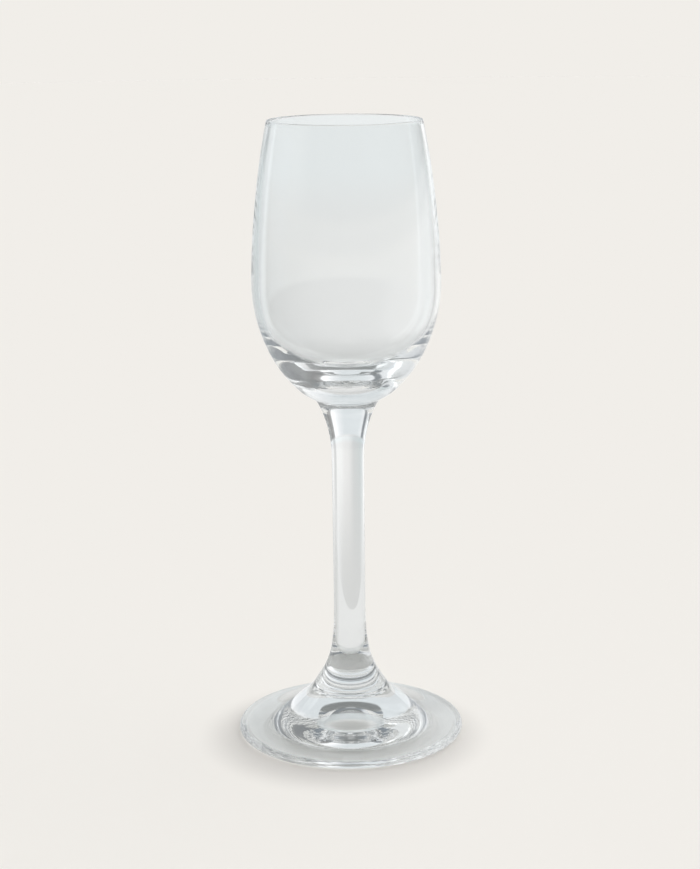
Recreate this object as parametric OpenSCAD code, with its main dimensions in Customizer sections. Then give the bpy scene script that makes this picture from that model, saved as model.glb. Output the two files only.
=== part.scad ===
// Stemmed cordial glass in clear glass: a blown bowl, a solid drawn stem and
// a spun foot. All three are turned about the Z axis, and each meets the next
// face to face in a flat round weld. The glass stands on Z = 0. Sizes in mm.

/* [Bowl] */
// Outside diameter of the rim
rim_d = 35.2; // [30:0.1:40]
// Thickness of the glass at the rim
rim_wall = 0.7; // [0.5:0.05:1.4]
// Angle at which the wall leans outwards below the rim
rim_lean = 11.5; // [4:0.5:16]
// Largest outside diameter of the bowl
belly_d = 43.2; // [41:0.1:48]
// Thickness of the glass at the largest diameter
belly_wall = 1.5; // [0.8:0.05:2]
// Height of the largest diameter above the upper weld
belly_h = 26.9; // [24:0.1:32]
// Height of the rim above the upper weld
bowl_h = 63.75; // [58:0.05:72]
// Outside diameter of the heel, where the bowl turns in to its neck
heel_d = 28.7; // [26:0.1:31]
// Height of the heel above the upper weld
heel_h = 5.65; // [4.5:0.05:7]
// Angle at which the wall leans inwards at the heel
heel_lean = 40; // [34:0.5:46]
// Thickness of the glass between the upper weld and the drink
floor_t = 5.0; // [4:0.1:7]

/* [Stem] */
// Length of the stem between its two welds
stem_h = 70.5; // [55:0.5:85]
// Diameter of the upper weld, where the stem meets the bowl
neck_d = 15.3; // [13:0.1:17]
// Angle at which the neck of the bowl leans inwards at the upper weld
neck_lean = 62; // [50:0.5:68]
// Radius of the small hollow round that turns the stem down below the upper weld
neck_round = 0.8; // [0.4:0.05:1.6]
// Angle at which the stem leans inwards below that round
flute_lean = 33; // [25:0.5:40]
// Diameter of the rod where its upper flare ends
rod_top_d = 7.65; // [6:0.05:9]
// Diameter of the rod where its lower flare begins
rod_low_d = 7.46; // [6:0.05:9]
// Length of the upper flare
flute_h = 13.4; // [9:0.1:18]
// Length of the lower flare
flare_h = 19.6; // [14:0.1:25]
// Angle at which the lower flare leans outwards where it meets the foot
flare_lean = 31.5; // [25:0.5:38]

/* [Foot] */
// Diameter of the foot
foot_d = 53.4; // [48:0.1:60]
// Height of the lower weld above the table
foot_h = 10.4; // [9:0.1:13]
// Diameter of the lower weld, where the stem meets the foot
weld_d = 18.6; // [16:0.1:21]
// Angle at which the top of the foot leans outwards below the lower weld
shoulder_lean = 49; // [42:0.5:56]
// Angle at which the top of the foot leans outwards at its edge
edge_lean = 82; // [76:0.5:86]
// Thickness of the rounded edge
edge_t = 1.75; // [1.4:0.05:2.8]
// Height of the rounded edge above the table
edge_lift = 0.15; // [0.05:0.05:0.5]
// Distance inwards from the rounded edge to the flat ring that the glass stands on
land_inset = 0.8; // [0.4:0.05:1.5]
// Width of that flat ring
land_w = 0.8; // [0.4:0.05:1.2]
// Rise of the hollow underside from the flat ring to the middle
hollow_h = 1.7; // [1:0.05:2.2]
// Further rise of the dimple in the middle of the underside
dimple_h = 3.0; // [1.5:0.05:3.5]
// Diameter of the dimple
dimple_d = 28.0; // [20:0.5:34]

/* [Hidden] */
$fn = 192;
glass_colour = [0.88, 0.92, 0.93];
glass_alpha = 0.5;

// Steps along a curve and along an arc
curve_steps = 20;
arc_steps = 10;

// How far the ends of each curve hold to their directions, as shares of its chord
side_shares = [0.47, 0.12];
wall_shares = [0.39, 0.25];
heel_shares = [0.60, 0.30];
flute_shares = [0.25, 0.37];
flare_shares = [0.63, 0.30];
shoulder_shares = [0.30, 0.45];
inside_shares = [0.12, 0.47];
round_shares = [0.20, 0.64];

// How steeply the hollow and the dimple of the underside turn down
hollow_power = 2.4;
dimple_power = 2.3;

// Heights above the table
upper_weld_z = foot_h + stem_h;
rim_z = upper_weld_z + bowl_h;
belly_z = upper_weld_z + belly_h;

// Directions in the half plane [radius, height]
up = [0, 1];
down = [0, -1];
outwards = [1, 0];
function down_and_out(angle) = [sin(angle), -cos(angle)];
function down_and_in(angle) = [-sin(angle), -cos(angle)];
function up_and_in(angle) = [-sin(angle), cos(angle)];
function facing(angle) = [cos(angle), sin(angle)];

// Points of a smooth curve from p to q, without q. It leaves p along the
// direction u, reaches q along v, and holds to them by two shares of its chord.
function sweep(p, u, q, v, shares) =
    let (
        chord = norm(q - p),
        b = p + u * shares[0] * chord,
        c = q - v * shares[1] * chord
    )
    [for (i = [0 : curve_steps - 1])
        let (t = i / curve_steps, s = 1 - t)
        p * pow(s, 3) + b * 3 * s * s * t + c * 3 * s * t * t + q * pow(t, 3)
    ];

// Points of an arc about a centre between two angles, without its end
function arc(centre, radius, from, to) =
    [for (i = [0 : arc_steps - 1])
        centre + radius * facing(from + (to - from) * i / arc_steps)
    ];

// Bowl: the rounded lip, the points that its inside passes and those outside
lip_r = rim_wall / 2;
lip_centre = [rim_d / 2 - lip_r, rim_z - lip_r];
lip_in = lip_centre - lip_r * facing(rim_lean);
lip_out = lip_centre + lip_r * facing(rim_lean);
floor_middle = [0, upper_weld_z + floor_t];
belly_in = [belly_d / 2 - belly_wall, belly_z];
belly_out = [belly_d / 2, belly_z];
heel = [heel_d / 2, upper_weld_z + heel_h];
upper_weld = [neck_d / 2, upper_weld_z];

// Stem: the round below the upper weld, the two ends of the rod and the lower weld
neck_centre = upper_weld + neck_round * facing(-neck_lean);
flute_top = neck_centre + neck_round * facing(180 - flute_lean);
rod_top = [rod_top_d / 2, upper_weld_z - flute_h];
rod_low = [rod_low_d / 2, foot_h + flare_h];
lower_weld = [weld_d / 2, foot_h];

// Foot: the rounded edge, the flat ring and the dimple
edge_r = edge_t / 2;
edge_centre = [foot_d / 2 - edge_r, edge_lift + edge_r];
edge_top = edge_centre + edge_r * facing(edge_lean);
edge_bottom = edge_centre + edge_r * down;
land_out_r = edge_centre[0] - land_inset;
land_in_r = land_out_r - land_w;
dimple_r = dimple_d / 2;

// Rise of the underside at a radius: its hollow, and its dimple inside that
function hollow_z(r) = hollow_h * (1 - pow(r / land_in_r, hollow_power));
function dimple_z(r) = dimple_h * pow(1 - pow(r / dimple_r, 2), dimple_power);

// A closed half outline turned about the Z axis
module turned(outline) {
    color(glass_colour, glass_alpha) rotate_extrude() polygon(outline);
}

// Blown cup, thin at the rim and thick at the bottom
module bowl() {
    inside = concat(
        sweep(floor_middle, outwards, belly_in, up, round_shares),
        sweep(belly_in, up, lip_in, up_and_in(rim_lean), inside_shares)
    );
    outside = concat(
        sweep(lip_out, down_and_out(rim_lean), belly_out, down, side_shares),
        sweep(belly_out, down, heel, down_and_in(heel_lean), wall_shares),
        sweep(heel, down_and_in(heel_lean), upper_weld, down_and_in(neck_lean), heel_shares)
    );
    lip = arc(lip_centre, lip_r, 180 + rim_lean, rim_lean);
    turned(concat(inside, lip, outside, [upper_weld, [0, upper_weld_z]]));
}

// Solid rod, flared at both ends
module stem() {
    neck = arc(neck_centre, neck_round, 180 - neck_lean, 180 - flute_lean);
    flute = sweep(flute_top, down_and_in(flute_lean), rod_top, down, flute_shares);
    flare = sweep(rod_low, down, lower_weld, down_and_out(flare_lean), flare_shares);
    rod = [rod_top];
    turned(concat([[0, upper_weld_z]], neck, flute, rod, flare, [lower_weld, [0, foot_h]]));
}

// Spun disc with a rounded edge and a hollow underside
module foot() {
    top = sweep(
        lower_weld, down_and_out(shoulder_lean), edge_top, down_and_out(edge_lean), shoulder_shares
    );
    edge = arc(edge_centre, edge_r, edge_lean, -90);
    plain = [for (i = [0 : curve_steps - 1])
        let (r = land_in_r + (dimple_r - land_in_r) * i / curve_steps)
        [r, hollow_z(r)]
    ];
    dimple = [for (i = [0 : curve_steps])
        let (r = dimple_r * (1 - i / curve_steps))
        [r, hollow_z(r) + dimple_z(r)]
    ];
    turned(concat([[0, foot_h]], top, edge, [edge_bottom, [land_out_r, 0]], plain, dimple));
}

bowl();
stem();
foot();
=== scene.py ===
"""A clear cordial glass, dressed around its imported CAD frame.

The three glass pieces are turned again here at a fine resolution, on the same
outlines as the CAD solids, because clear glass shows every facet of a mesh.
Lengths are named in millimetres and meshes are made in metres.
"""

import math

import bmesh
import bpy
from mathutils import Matrix, Vector


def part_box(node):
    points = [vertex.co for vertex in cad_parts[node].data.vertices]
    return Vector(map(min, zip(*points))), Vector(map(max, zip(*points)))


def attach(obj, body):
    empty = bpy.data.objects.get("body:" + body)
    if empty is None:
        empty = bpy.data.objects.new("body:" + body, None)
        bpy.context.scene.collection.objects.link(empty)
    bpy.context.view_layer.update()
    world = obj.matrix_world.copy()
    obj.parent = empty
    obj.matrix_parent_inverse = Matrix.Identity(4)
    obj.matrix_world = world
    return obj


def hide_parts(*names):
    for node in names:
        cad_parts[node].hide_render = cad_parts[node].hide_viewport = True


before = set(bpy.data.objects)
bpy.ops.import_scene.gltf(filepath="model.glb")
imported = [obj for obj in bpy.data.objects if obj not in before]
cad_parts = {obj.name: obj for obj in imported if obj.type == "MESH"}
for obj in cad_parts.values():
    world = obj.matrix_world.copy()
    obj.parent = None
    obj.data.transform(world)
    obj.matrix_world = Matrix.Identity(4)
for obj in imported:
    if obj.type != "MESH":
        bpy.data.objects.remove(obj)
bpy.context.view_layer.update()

MM = 0.001

# Driving sizes, read from the upper corners of the nodes' boxes
foot_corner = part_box("foot")[1]
stem_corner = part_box("stem")[1]
bowl_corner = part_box("bowl")[1]
FOOT_R = foot_corner.x / MM
FOOT_H = foot_corner.z / MM
WELD_R = stem_corner.x / MM
UPPER_WELD_Z = stem_corner.z / MM
BELLY_R = bowl_corner.x / MM
RIM_Z = bowl_corner.z / MM

# Bowl
RIM_R = 17.6
RIM_WALL = 0.7
RIM_LEAN = 11.5
BELLY_WALL = 1.5
BELLY_H = 26.9
HEEL_R = 14.35
HEEL_H = 5.65
HEEL_LEAN = 40.0
FLOOR_T = 5.0

# Stem
NECK_R = 7.65
NECK_LEAN = 62.0
NECK_ROUND = 0.8
FLUTE_LEAN = 33.0
ROD_TOP_R = 3.825
ROD_LOW_R = 3.73
FLUTE_H = 13.4
FLARE_H = 19.6
FLARE_LEAN = 31.5

# Foot
SHOULDER_LEAN = 49.0
EDGE_LEAN = 82.0
EDGE_R = 0.875
EDGE_LIFT = 0.15
LAND_INSET = 0.8
LAND_W = 0.8
HOLLOW_H = 1.7
HOLLOW_POWER = 2.4
DIMPLE_H = 3.0
DIMPLE_R = 14.0
DIMPLE_POWER = 2.3
# The fine rings that spinning left on the underside: their pitch, their height, and the
# radii between which they run
MARK_PITCH = 0.85
MARK_H = 0.002
MARK_RADII = (8.8, 17.6)

# How far the ends of each curve hold to their directions, as shares of its chord
SIDE_SHARES = (0.47, 0.12)
WALL_SHARES = (0.39, 0.25)
HEEL_SHARES = (0.60, 0.30)
FLUTE_SHARES = (0.25, 0.37)
FLARE_SHARES = (0.63, 0.30)
SHOULDER_SHARES = (0.30, 0.45)
INSIDE_SHARES = (0.12, 0.47)
ROUND_SHARES = (0.20, 0.64)

# Resolution of the turned meshes
SEGMENTS = 360
CURVE_STEPS = 48
UNDERSIDE_STEPS = 200
ARC_STEPS = 16
CREASE_ANGLE = math.radians(9)
# Metres from the axis below which a point of an outline lies on it
ON_AXIS = 1e-9

# Material slots of a turned piece: its surface, and the face inside a weld
SURFACE = 0
WELD = 1

# The glass itself
GLASS_TINT = (0.972, 0.984, 0.984, 1)
GLASS_IOR = 1.52
# Its surface: faint waves, fine smears where the noise lies between two values, and the
# grit that has dulled what lies below a height. Heights are in metres.
WAVE_SCALE = 160
WAVE_DETAIL = 1
WAVE_HEIGHT = 0.0000015
SMEAR_SCALE = 90
SMEAR_DETAIL = 4
SMEARS = (0.45, 0.75)
SMEAR_ROUGHNESS = 0.012
GRIT_SCALE = 3000
GRIT_DETAIL = 3
WORN_BELOW = 0.00008
WORN_ROUGHNESS = 0.06

# Photograph: its size in pixels, its camera and its background. The camera stands a little
# to the right of the glass, and its angles are in degrees.
PHOTO_SIZE = (700, 869)
CAMERA_SIDE = 0.5
CAMERA_DISTANCE = 430.66
CAMERA_HEIGHT = 175.75
CAMERA_PITCH = 13.52
CAMERA_ROLL = -0.6
FOCAL_PIXELS = 1907.8
SENSOR_WIDTH = 36.0
CLIP_START = 0.01
BACKGROUND = (0.879, 0.855, 0.815, 1)
WHITE = (1, 1, 1, 1)

# Number of surfaces that light may meet on its way
BOUNCES = 128

# What the glass shows of its surroundings, as (azimuth in degrees, colour). The azimuth
# runs from straight behind the glass towards the right. Colours are shares of STUDIO_LEVEL.
# First the walls above eye level, then what is level with the eye, the paper behind the
# glass, and the paper near it, darkened as painted shade, most to the right.
STUDIO_LEVEL = 2.0
STUDIO_ABOVE = [
    (-180, (0.12, 0.135, 0.15)),
    (-132, (0.14, 0.155, 0.17)),
    (-112, (0.37, 0.38, 0.39)),
    (-64, (0.42, 0.43, 0.43)),
    (-61, (0.72, 0.74, 0.75)),
    (-57, (0.72, 0.74, 0.75)),
    (-54, (0.44, 0.45, 0.46)),
    (-46, (0.42, 0.43, 0.44)),
    (-43, (0.13, 0.14, 0.15)),
    (-35, (0.12, 0.13, 0.14)),
    (-32, (0.45, 0.46, 0.47)),
    (-22, (0.39, 0.41, 0.42)),
    (-4, (0.38, 0.40, 0.41)),
    (6, (0.38, 0.40, 0.41)),
    (16, (0.45, 0.46, 0.47)),
    (25, (0.56, 0.565, 0.57)),
    (31, (0.58, 0.585, 0.59)),
    (34, (0.20, 0.20, 0.20)),
    (45, (0.13, 0.13, 0.13)),
    (58, (0.17, 0.175, 0.175)),
    (76, (0.12, 0.125, 0.13)),
    (180, (0.12, 0.135, 0.15)),
]
STUDIO_LEVEL_WITH_EYE = [
    (-180, (0.44, 0.43, 0.41)),
    (-64, (0.44, 0.43, 0.41)),
    (-61, (0.66, 0.67, 0.67)),
    (-57, (0.66, 0.67, 0.67)),
    (-54, (0.38, 0.39, 0.40)),
    (-36, (0.31, 0.33, 0.33)),
    (-14, (0.33, 0.335, 0.335)),
    (-2, (0.415, 0.412, 0.408)),
    (10, (0.44, 0.436, 0.432)),
    (16, (0.47, 0.47, 0.465)),
    (33, (0.48, 0.48, 0.475)),
    (37, (0.33, 0.33, 0.33)),
    (45, (0.35, 0.35, 0.35)),
    (54, (0.48, 0.48, 0.48)),
    (84, (0.50, 0.50, 0.50)),
    (96, (0.44, 0.43, 0.41)),
    (180, (0.44, 0.43, 0.41)),
]
FLOOR_ROUND = [
    (-180, (0.46, 0.46, 0.45)),
    (-80, (0.46, 0.46, 0.45)),
    (-47, (0.44, 0.44, 0.435)),
    (-38, (0.37, 0.37, 0.365)),
    (-30, (0.335, 0.335, 0.33)),
    (16, (0.335, 0.335, 0.33)),
    (34, (0.42, 0.42, 0.42)),
    (45, (0.41, 0.41, 0.405)),
    (52, (0.32, 0.32, 0.315)),
    (64, (0.35, 0.35, 0.34)),
    (84, (0.45, 0.45, 0.44)),
    (180, (0.46, 0.46, 0.45)),
]
# Painted shade on the paper near the foot, as the glass shows it, darkest to the right
FLOOR_NEAR_SHADE_ROUND = [
    (-180, (0.405, 0.405, 0.40)),
    (30, (0.405, 0.405, 0.40)),
    (48, (0.32, 0.32, 0.315)),
    (64, (0.32, 0.32, 0.315)),
    (84, (0.405, 0.405, 0.40)),
    (180, (0.405, 0.405, 0.40)),
]
# The painted shade of the paper under the foot, and the tint that the far paper takes
FLOOR_UNDER_SHADE = (0.42, 0.42, 0.405, 1)
FLOOR_HAZE = (1.02, 1.055, 1.07, 1)
# Distances in metres between which one part of the floor gives way to the next: from the
# painted shade under the foot to the painted shade near it, to the paper behind, to the
# far paper and to its haze
UNDER_SHADE_REACH = (0.002, 0.034)
FLOOR_NEAR_REACH = (0.087, 0.090)
FLOOR_FAR_REACH = (0.085, 0.28)
FLOOR_HAZE_REACH = (0.65, 1.2)
# The first, for the painted shade under the foot, is measured from a point in front of the
# axis, and the second begins later to both sides of one azimuth in radians
UNDER_SHADE_MIDDLE = (-0.0010, -0.004, 0)
BEHIND_MIDDLE = -0.12
BEHIND_BEND = 0.10
# The soft shade that shows round the foot: its colour, and its reach from its middle
CONTACT_SHADE = (0.76, 0.76, 0.765, 1)
CONTACT_MIDDLE = (-0.0015, -0.005, 0)
CONTACT_REACH = (0.023, 0.036)
FLOOR_RADIUS = 3.0
FLOOR_VERTICES = 128
# The floor lies a hair under the glass, because faces in one plane don't render
FLOOR_GAP = 0.05
# Heights, as the sine of the elevation, between which the upper studio, the dim dome above
# it and the light overhead come in
HORIZON = (-0.03, 0.01)
DOME = (0.62, 0.70)
DOME_COLOUR = (0.24, 0.25, 0.25, 1)
OVERHEAD = (0.97, 0.995)
OVERHEAD_LIGHT = (0.62, 0.62, 0.62, 1)
# The light that falls on the floor: a soft part from everywhere, and a part from one side
# that a power gathers
DAYLIGHT_SOFT = 0.687
DAYLIGHT_SIDE = 1.45
DAYLIGHT_TOWARDS = (0.62, 0.45, 0.64)
DAYLIGHT_POWER = 4

UP = Vector((0, 1))
DOWN = Vector((0, -1))
OUTWARDS = Vector((1, 0))


def facing(angle):
    """Unit vector at an angle above the outward direction, in the half plane (radius, height)."""
    return Vector((math.cos(math.radians(angle)), math.sin(math.radians(angle))))


def down_and_out(angle):
    """Unit vector that points down and leans away from the axis."""
    return Vector((math.sin(math.radians(angle)), -math.cos(math.radians(angle))))


def down_and_in(angle):
    """Unit vector that points down and leans towards the axis."""
    return Vector((-math.sin(math.radians(angle)), -math.cos(math.radians(angle))))


def sweep(p, u, q, v, shares):
    """Points of a smooth curve from p, along u, to q, along v, without q."""
    chord = (q - p).length
    b = p + u * shares[0] * chord
    c = q - v * shares[1] * chord
    points = []
    for i in range(CURVE_STEPS):
        t = i / CURVE_STEPS
        s = 1 - t
        points.append(p * s**3 + b * 3 * s * s * t + c * 3 * s * t * t + q * t**3)
    return points


def arc(centre, radius, start, end):
    """Points of an arc about a centre between two angles, without its end."""
    return [
        centre + radius * facing(start + (end - start) * i / ARC_STEPS)
        for i in range(ARC_STEPS)
    ]


def bowl_outline():
    """Half outline of the bowl from the middle of its floor over the rim to the upper weld."""
    lip_r = RIM_WALL / 2
    lip_centre = Vector((RIM_R - lip_r, RIM_Z - lip_r))
    lip_in = lip_centre - lip_r * facing(RIM_LEAN)
    lip_out = lip_centre + lip_r * facing(RIM_LEAN)
    belly_z = UPPER_WELD_Z + BELLY_H
    belly_in = Vector((BELLY_R - BELLY_WALL, belly_z))
    belly_out = Vector((BELLY_R, belly_z))
    heel = Vector((HEEL_R, UPPER_WELD_Z + HEEL_H))
    floor_middle = Vector((0, UPPER_WELD_Z + FLOOR_T))
    weld = Vector((NECK_R, UPPER_WELD_Z))
    up_and_in = -down_and_out(RIM_LEAN)
    return (
        sweep(floor_middle, OUTWARDS, belly_in, UP, ROUND_SHARES)
        + sweep(belly_in, UP, lip_in, up_and_in, INSIDE_SHARES)
        + arc(lip_centre, lip_r, 180 + RIM_LEAN, RIM_LEAN)
        + sweep(lip_out, down_and_out(RIM_LEAN), belly_out, DOWN, SIDE_SHARES)
        + sweep(belly_out, DOWN, heel, down_and_in(HEEL_LEAN), WALL_SHARES)
        + sweep(heel, down_and_in(HEEL_LEAN), weld, down_and_in(NECK_LEAN), HEEL_SHARES)
        + [weld]
    )


def stem_outline():
    """Half outline of the stem from the upper weld to the lower one."""
    upper = Vector((NECK_R, UPPER_WELD_Z))
    neck_centre = upper + NECK_ROUND * facing(-NECK_LEAN)
    flute_top = neck_centre + NECK_ROUND * facing(180 - FLUTE_LEAN)
    rod_top = Vector((ROD_TOP_R, UPPER_WELD_Z - FLUTE_H))
    rod_low = Vector((ROD_LOW_R, FOOT_H + FLARE_H))
    lower = Vector((WELD_R, FOOT_H))
    rod = [rod_top.lerp(rod_low, i / CURVE_STEPS) for i in range(CURVE_STEPS)]
    return (
        arc(neck_centre, NECK_ROUND, 180 - NECK_LEAN, 180 - FLUTE_LEAN)
        + sweep(flute_top, down_and_in(FLUTE_LEAN), rod_top, DOWN, FLUTE_SHARES)
        + rod
        + sweep(rod_low, DOWN, lower, down_and_out(FLARE_LEAN), FLARE_SHARES)
        + [lower]
    )


def foot_outline():
    """Half outline of the foot from the lower weld round its edge to its middle below."""
    lower = Vector((WELD_R, FOOT_H))
    edge_centre = Vector((FOOT_R - EDGE_R, EDGE_LIFT + EDGE_R))
    edge_top = edge_centre + EDGE_R * facing(EDGE_LEAN)
    land_out = Vector((edge_centre.x - LAND_INSET, 0))
    land_in = Vector((land_out.x - LAND_W, 0))

    def hollow_z(r):
        return HOLLOW_H * (1 - (r / land_in.x) ** HOLLOW_POWER)

    def dimple_z(r):
        return DIMPLE_H * max(0, 1 - (r / DIMPLE_R) ** 2) ** DIMPLE_POWER

    def mark_z(r):
        inner, outer = MARK_RADII
        share = min(max((r - inner) / (outer - inner), 0), 1)
        return MARK_H * math.sin(math.pi * share) * math.sin(2 * math.pi * r / MARK_PITCH)

    top = sweep(
        lower, down_and_out(SHOULDER_LEAN), edge_top, down_and_out(EDGE_LEAN), SHOULDER_SHARES
    )
    radii = [land_in.x * (1 - i / UNDERSIDE_STEPS) for i in range(UNDERSIDE_STEPS + 1)]
    return (
        top
        + arc(edge_centre, EDGE_R, EDGE_LEAN, -90)
        + [edge_centre + EDGE_R * DOWN, land_out]
        + [Vector((r, hollow_z(r) + dimple_z(r) + mark_z(r))) for r in radii]
    )


def turned(name, outline, weld_ends):
    """Piece with the closed mesh of a half outline turned about Z.

    weld_ends says for the first and the last point whether a weld disc closes the mesh there.
    """
    mesh = bpy.data.meshes.new(name)
    bm = bmesh.new()
    loops = []
    for point in outline:
        r, z = point.x * MM, point.y * MM
        if r < ON_AXIS:
            loops.append([bm.verts.new((0, 0, z))])
            continue
        loops.append([
            bm.verts.new((r * math.cos(a), r * math.sin(a), z))
            for a in (2 * math.pi * i / SEGMENTS for i in range(SEGMENTS))
        ])
    for upper, lower in zip(loops, loops[1:]):
        join_loops(bm, upper, lower, SURFACE)
    for loop, is_weld in zip((loops[0], loops[-1]), weld_ends):
        if is_weld:
            middle = bm.verts.new((0, 0, loop[0].co.z))
            join_loops(bm, [middle], loop, WELD)
    bmesh.ops.recalc_face_normals(bm, faces=bm.faces)
    bm.to_mesh(mesh)
    bm.free()
    mesh.shade_smooth()
    mesh.set_sharp_from_angle(angle=CREASE_ANGLE)
    piece = bpy.data.objects.new(name, mesh)
    bpy.context.scene.collection.objects.link(piece)
    return piece


def join_loops(bm, a, b, material_index):
    """Faces between two loops of vertices, either of which may be a single vertex."""
    for i in range(SEGMENTS):
        j = (i + 1) % SEGMENTS
        corners = [a[i % len(a)], a[j % len(a)], b[j % len(b)], b[i % len(b)]]
        face = bm.faces.new(list(dict.fromkeys(corners)))
        face.material_index = material_index


def clear_glass(name):
    """Clear, nearly colourless glass with the faint waviness of a fire-polished surface.

    Its roughness rises a little in fine smears, and more on the flat ring that it stands
    on, where use has dulled it.
    """
    material = bpy.data.materials.new(name)
    material.use_nodes = True
    tree = material.node_tree
    shader = tree.nodes["Principled BSDF"]
    shader.inputs["Base Color"].default_value = GLASS_TINT
    shader.inputs["IOR"].default_value = GLASS_IOR
    shader.inputs["Transmission Weight"].default_value = 1

    place = tree.nodes.new("ShaderNodeTexCoord").outputs["Object"]
    smears = rise(tree, noise(tree, place, SMEAR_SCALE, SMEAR_DETAIL), SMEARS)
    smears = math_node(tree, "MULTIPLY", smears, SMEAR_ROUGHNESS)
    worn = math_node(tree, "LESS_THAN", part_of(tree, place, "Z"), WORN_BELOW)
    grit = noise(tree, place, GRIT_SCALE, GRIT_DETAIL)
    grit = math_node(tree, "MULTIPLY", grit, WORN_ROUGHNESS)
    roughness = math_node(tree, "ADD", smears, math_node(tree, "MULTIPLY", worn, grit))
    tree.links.new(roughness, shader.inputs["Roughness"])

    waves = noise(tree, place, WAVE_SCALE, WAVE_DETAIL)
    waves = math_node(tree, "MULTIPLY", waves, WAVE_HEIGHT)
    bump = tree.nodes.new("ShaderNodeBump")
    bump.inputs["Distance"].default_value = 1
    tree.links.new(waves, bump.inputs["Height"])
    tree.links.new(bump.outputs["Normal"], shader.inputs["Normal"])
    return material


def noise(tree, position, scale, detail):
    """Value of a noise texture at a position."""
    node = tree.nodes.new("ShaderNodeTexNoise")
    node.inputs["Scale"].default_value = scale
    node.inputs["Detail"].default_value = detail
    tree.links.new(position, node.inputs["Vector"])
    return node.outputs["Fac"]


def weld_face():
    """The face inside a weld, where fused glass has no surface."""
    material = bpy.data.materials.new("fused_weld")
    material.use_nodes = True
    nodes = material.node_tree.nodes
    nodes.clear()
    through = nodes.new("ShaderNodeBsdfTransparent")
    output = nodes.new("ShaderNodeOutputMaterial")
    material.node_tree.links.new(through.outputs["BSDF"], output.inputs["Surface"])
    return material


def dress(piece, node, glass, weld):
    """Gives a turned piece its materials, in the order of the slots, sets it under the root
    body and hides the CAD node that it stands in for.
    """
    piece.data.materials.append(glass)
    piece.data.materials.append(weld)
    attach(piece, "root")
    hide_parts(node)


def make_floor():
    """Pale floor in the photograph's background colour, which keeps the glass's shadow.

    Light passes the glass too freely in the renderer, so a soft painted shade round the foot
    is part of the paper. The glass shows a paper that falls off slowly behind it, with more
    painted shade under and near the foot.
    """
    bpy.ops.mesh.primitive_circle_add(
        vertices=FLOOR_VERTICES, radius=FLOOR_RADIUS, fill_type="NGON"
    )
    floor = bpy.context.object
    floor.name = "floor"
    floor.location.z = -FLOOR_GAP * MM
    material = bpy.data.materials.new("floor_paper")
    material.use_nodes = True
    tree = material.node_tree
    shader = tree.nodes["Principled BSDF"]
    shader.inputs["Roughness"].default_value = 1
    shader.inputs["Specular IOR Level"].default_value = 0

    place = tree.nodes.new("ShaderNodeTexCoord").outputs["Object"]
    contact = rise(tree, distance_from(tree, place, CONTACT_MIDDLE), CONTACT_REACH)
    shade = mix_colours(tree, contact, CONTACT_SHADE, WHITE)
    plain = mix_colours(tree, 1.0, BACKGROUND, shade, "MULTIPLY")
    paper = mix_colours(tree, through_glass(tree), plain, shaded_paper_in_glass(tree, place))
    tree.links.new(paper, shader.inputs["Base Color"])
    floor.data.materials.append(material)


def shaded_paper_in_glass(tree, place):
    """Colour that the glass shows at a place of the floor, with painted shade round the foot."""
    distance = distance_from(tree, place, (0, 0, 0))
    aside = math_node(tree, "SUBTRACT", azimuth(tree, place), BEHIND_MIDDLE)
    bend = math_node(tree, "MULTIPLY", math_node(tree, "MULTIPLY", aside, aside), BEHIND_BEND)
    bent = math_node(tree, "SUBTRACT", distance, bend)
    # Painted shade of the paper under the foot, giving way to the near paper
    under = rise(tree, distance_from(tree, place, UNDER_SHADE_MIDDLE), UNDER_SHADE_REACH)
    # Painted shade on the paper near the foot
    near_shade = surroundings(tree, place, FLOOR_NEAR_SHADE_ROUND)
    behind = surroundings(tree, place, FLOOR_ROUND)
    far = surroundings(tree, place, STUDIO_LEVEL_WITH_EYE)
    haze = mix_colours(tree, rise(tree, distance, FLOOR_HAZE_REACH), WHITE, FLOOR_HAZE)
    far = mix_colours(tree, 1.0, far, haze, "MULTIPLY")
    paper = mix_colours(tree, under, FLOOR_UNDER_SHADE, near_shade)
    paper = mix_colours(tree, rise(tree, bent, FLOOR_NEAR_REACH), paper, behind)
    return mix_colours(tree, rise(tree, distance, FLOOR_FAR_REACH), paper, far)


def distance_from(tree, position, middle):
    """Distance of a position from a fixed point."""
    node = tree.nodes.new("ShaderNodeVectorMath")
    node.operation = "DISTANCE"
    node.inputs[1].default_value = middle
    tree.links.new(position, node.inputs[0])
    return node.outputs["Value"]


def surroundings(tree, direction, stops):
    """Colour by azimuth round the glass, from stops in degrees."""
    # The ramp takes a whole turn as one, with straight behind the glass in its middle
    share = math_node(tree, "MULTIPLY_ADD", azimuth(tree, direction), 0.5 / math.pi)
    share.node.inputs[2].default_value = 0.5
    colour = ramp(tree, share, [(0.5 + degrees / 360, c) for degrees, c in stops])
    level = (STUDIO_LEVEL, STUDIO_LEVEL, STUDIO_LEVEL, 1)
    return mix_colours(tree, 1.0, colour, level, "MULTIPLY")


def azimuth(tree, direction):
    """Angle in radians from straight behind the glass towards the right."""
    x, y = part_of(tree, direction, "X"), part_of(tree, direction, "Y")
    return math_node(tree, "ARCTAN2", x, y)


def part_of(tree, vector, axis):
    """One component of a vector."""
    node = tree.nodes.new("ShaderNodeSeparateXYZ")
    tree.links.new(vector, node.inputs[0])
    return node.outputs[axis]


def ramp(tree, factor, stops):
    """Colour output of a colour ramp over (position, colour) stops."""
    node = tree.nodes.new("ShaderNodeValToRGB")
    elements = node.color_ramp.elements
    while len(elements) < len(stops):
        elements.new(0.5)
    for element, (position, colour) in zip(elements, stops):
        element.position = position
        element.color = (*colour, 1)
    tree.links.new(factor, node.inputs["Fac"])
    return node.outputs["Color"]


def math_node(tree, operation, a, b=0):
    """Output of a math node; an input is a number or another node's output."""
    node = tree.nodes.new("ShaderNodeMath")
    node.operation = operation
    for socket, value in zip(node.inputs, (a, b)):
        if isinstance(value, (int, float)):
            socket.default_value = value
        else:
            tree.links.new(value, socket)
    return node.outputs[0]


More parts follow.
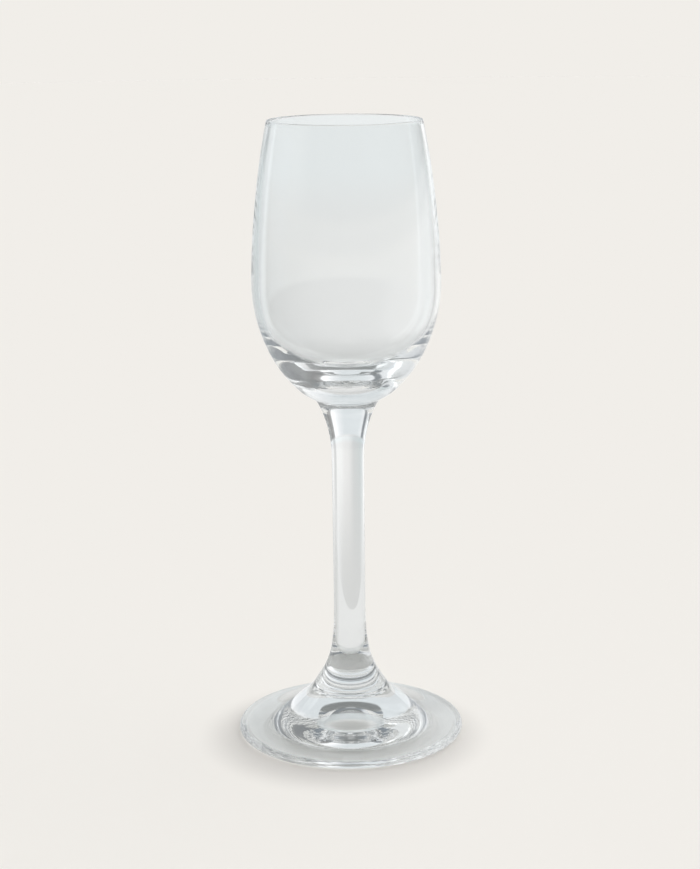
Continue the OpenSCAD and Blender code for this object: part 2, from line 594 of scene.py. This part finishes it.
def mix_colours(tree, factor, a, b, blend="MIX"):
    """Colour output of a mix node; a and b are colours or other nodes' outputs."""
    node = tree.nodes.new("ShaderNodeMix")
    node.data_type = "RGBA"
    node.blend_type = blend
    for name, value in (("Factor", factor), ("A", a), ("B", b)):
        socket = [i for i in node.inputs if i.name == name and i.enabled][0]
        if isinstance(value, (int, float, tuple)):
            socket.default_value = value
        else:
            tree.links.new(value, socket)
    return [o for o in node.outputs if o.enabled][0]


def rise(tree, value, limits):
    """Smooth step from nought to one between two limits."""
    node = tree.nodes.new("ShaderNodeMapRange")
    node.interpolation_type = "SMOOTHSTEP"
    node.inputs["From Min"].default_value, node.inputs["From Max"].default_value = limits
    tree.links.new(value, node.inputs["Value"])
    return node.outputs["Result"]


def through_glass(tree):
    """One for what the glass shows the camera, and nought for light that falls on the floor."""
    light_path = tree.nodes.new("ShaderNodeLightPath")
    met_glass = math_node(
        tree, "MAXIMUM",
        light_path.outputs["Is Transmission Ray"], light_path.outputs["Is Glossy Ray"],
    )
    met_floor = math_node(tree, "MINIMUM", light_path.outputs["Diffuse Depth"], 1)
    only_glass = math_node(tree, "SUBTRACT", met_glass, met_floor)
    return math_node(tree, "GREATER_THAN", only_glass, 0.5)


def make_world():
    """Daylight on the floor, the background for the camera, and a studio in the glass."""
    world = bpy.data.worlds.new("studio")
    bpy.context.scene.world = world
    world.use_nodes = True
    tree = world.node_tree
    direction = tree.nodes.new("ShaderNodeTexCoord").outputs["Generated"]
    light_path = tree.nodes.new("ShaderNodeLightPath")
    lit = mix_colours(
        tree, light_path.outputs["Is Camera Ray"], daylight(tree, direction), BACKGROUND
    )
    seen = mix_colours(tree, through_glass(tree), lit, studio(tree, direction))
    tree.links.new(seen, tree.nodes["Background"].inputs["Color"])


def studio(tree, direction):
    """Colour that the glass shows in a direction: two bands of walls, a dome and a light."""
    height = part_of(tree, direction, "Z")
    above = surroundings(tree, direction, STUDIO_ABOVE)
    level_with_eye = surroundings(tree, direction, STUDIO_LEVEL_WITH_EYE)
    colour = mix_colours(tree, rise(tree, height, HORIZON), level_with_eye, above)
    colour = mix_colours(tree, rise(tree, height, DOME), colour, DOME_COLOUR)
    return mix_colours(tree, rise(tree, height, OVERHEAD), colour, OVERHEAD_LIGHT)


def daylight(tree, direction):
    """Strength of the light that comes from a direction, brighter from one side."""
    side = tree.nodes.new("ShaderNodeVectorMath")
    side.operation = "DOT_PRODUCT"
    side.inputs[1].default_value = DAYLIGHT_TOWARDS
    tree.links.new(direction, side.inputs[0])
    turned_to = math_node(tree, "MAXIMUM", side.outputs["Value"], 0)
    gathered = math_node(tree, "POWER", turned_to, DAYLIGHT_POWER)
    bright = math_node(tree, "MULTIPLY", gathered, DAYLIGHT_SIDE)
    return math_node(tree, "ADD", bright, DAYLIGHT_SOFT)


def make_camera():
    """Camera at the photograph's place and angle."""
    camera_data = bpy.data.cameras.new("camera")
    camera_data.sensor_width = SENSOR_WIDTH
    camera_data.lens = SENSOR_WIDTH * FOCAL_PIXELS / max(PHOTO_SIZE)
    camera_data.clip_start = CLIP_START
    camera = bpy.data.objects.new("camera", camera_data)
    bpy.context.scene.collection.objects.link(camera)
    turn = Matrix.Rotation(math.radians(90 - CAMERA_PITCH), 4, "X")
    roll = Matrix.Rotation(math.radians(CAMERA_ROLL), 4, "Z")
    place = Matrix.Translation((CAMERA_SIDE * MM, -CAMERA_DISTANCE * MM, CAMERA_HEIGHT * MM))
    camera.matrix_world = place @ turn @ roll
    bpy.context.scene.camera = camera


glass = clear_glass("clear_glass")
weld = weld_face()
dress(turned("bowl_glass", bowl_outline(), (False, True)), "bowl", glass, weld)
dress(turned("stem_glass", stem_outline(), (True, True)), "stem", glass, weld)
dress(turned("foot_glass", foot_outline(), (True, False)), "foot", glass, weld)
make_floor()
make_world()
make_camera()

scene = bpy.context.scene
scene.view_settings.view_transform = "Standard"
# Unblurred, or the reflections inside the glass lose their edges
scene.cycles.blur_glossy = 0
# Light runs a long way inside the rim's wall before it leaves the glass
scene.cycles.max_bounces = BOUNCES
scene.cycles.glossy_bounces = BOUNCES
scene.cycles.transmission_bounces = BOUNCES
scene.cycles.transparent_max_bounces = BOUNCES
